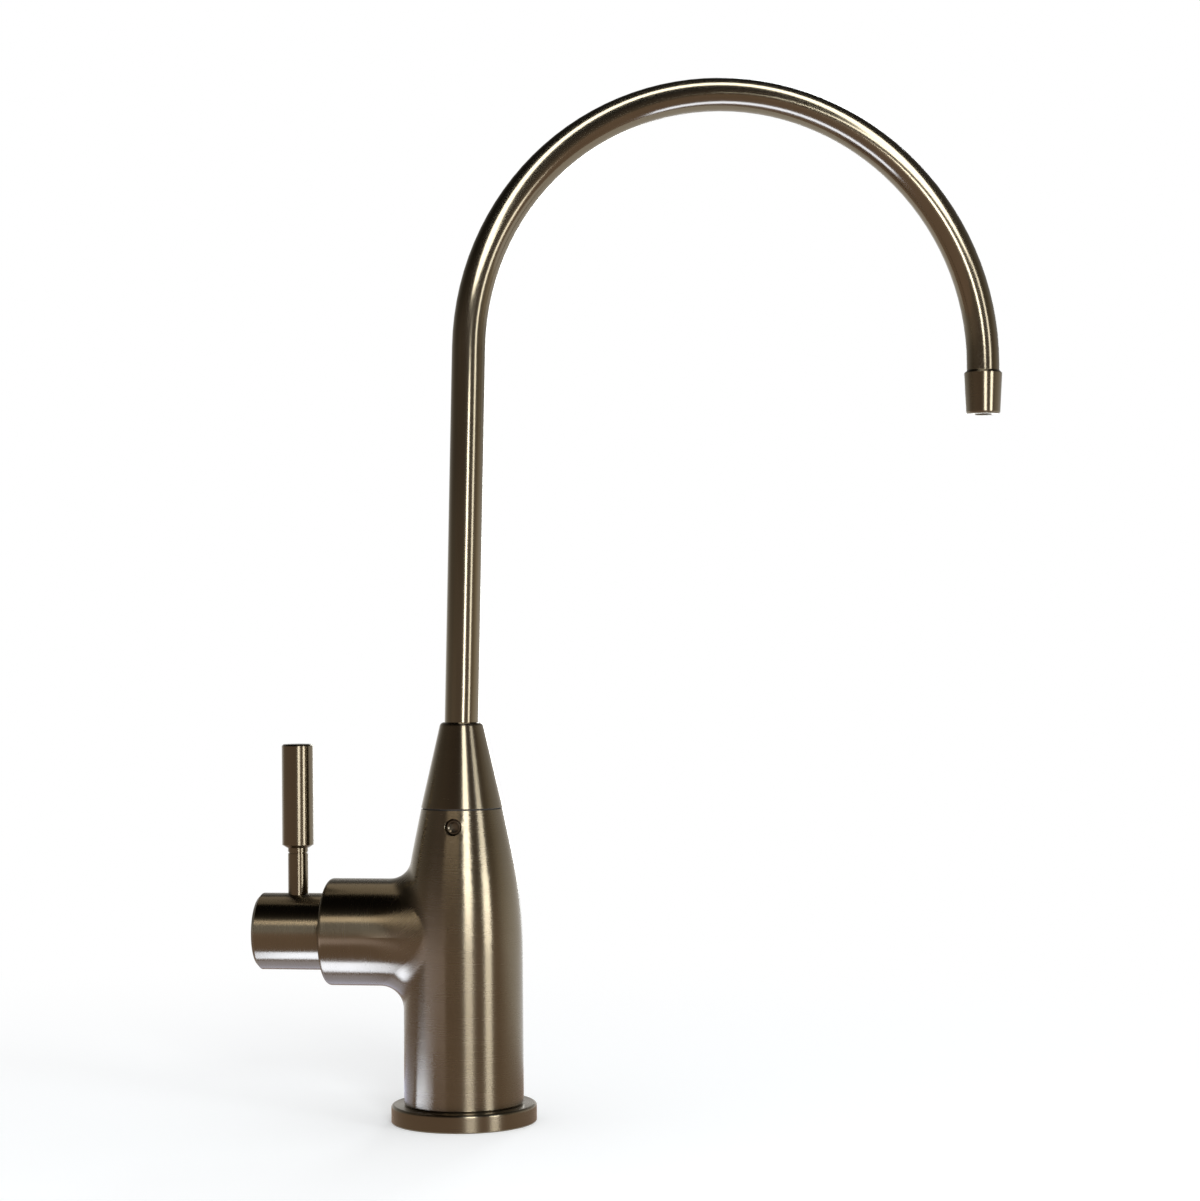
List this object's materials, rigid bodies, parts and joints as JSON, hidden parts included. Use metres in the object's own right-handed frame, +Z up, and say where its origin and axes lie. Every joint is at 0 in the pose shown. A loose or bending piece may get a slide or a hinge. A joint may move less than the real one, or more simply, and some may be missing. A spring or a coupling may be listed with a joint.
{
  "type": "drinking water filter tap",
  "caption": "Swan-neck drinking water tap on a round base: the spout swivels on a cone above the body and a side lever turns a quarter-turn ceramic valve.",
  "frame": {"origin": "centre of the base flange's underside, the face that stands on the worktop", "axes": "+Z up; -X is the valve and lever side; -Y is the front, where the grub screw is; the spout leaves towards +X and +Y"},
  "size_m": [0.2206, 0.0829, 0.3705],
  "materials": {
    "brushed_bronze": "brushed and satin, dark nickel-bronze",
    "dark_steel": "black oxide",
    "steel": "zinc plated",
    "brass": "plain turned brass",
    "ceramic": "lapped ceramic",
    "rubber": "matt black",
    "plastic": "black",
    "white_plastic": "natural white"
  },
  "bodies": {
    "tap_body": {"body_casting": "brushed_bronze", "base_flange": "brushed_bronze", "base_seal": "rubber", "threaded_shank": "brass", "rubber_washer": "rubber", "steel_washer": "steel", "fixing_nut": "brass", "inlet_nut": "brass", "inlet_ferrule": "white_plastic", "spout_grub_screw": "dark_steel", "valve_housing": "brass", "head_ring": "rubber", "seat_seal": "rubber", "fixed_disc": "ceramic", "thrust_washer": "plastic"},
    "handle": {"moving_disc": "ceramic", "valve_spindle": "brass", "spindle_rings": "rubber", "spindle_circlip": "steel", "valve_hub": "brushed_bronze", "lever_stem": "brushed_bronze", "lever_grip": "brushed_bronze"},
    "spout": {"spout_cone": "brushed_bronze", "spout_rings": "rubber", "slide_ring": "plastic", "spout_tube": "brushed_bronze", "outlet_nozzle": "brushed_bronze"}
  },
  "joints": [
    {"name": "spout_swivel", "type": "hinge", "parent": "tap_body", "child": "spout", "pos_m": [0, 0, 0.0921], "axis": [0, 0, 1], "continuous": true},
    {"name": "lever_turn", "type": "hinge", "parent": "tap_body", "child": "handle", "pos_m": [-0.0501, 0, 0.0553], "axis": [1, 0, 0], "range_deg": [0, 90]}
  ]
}
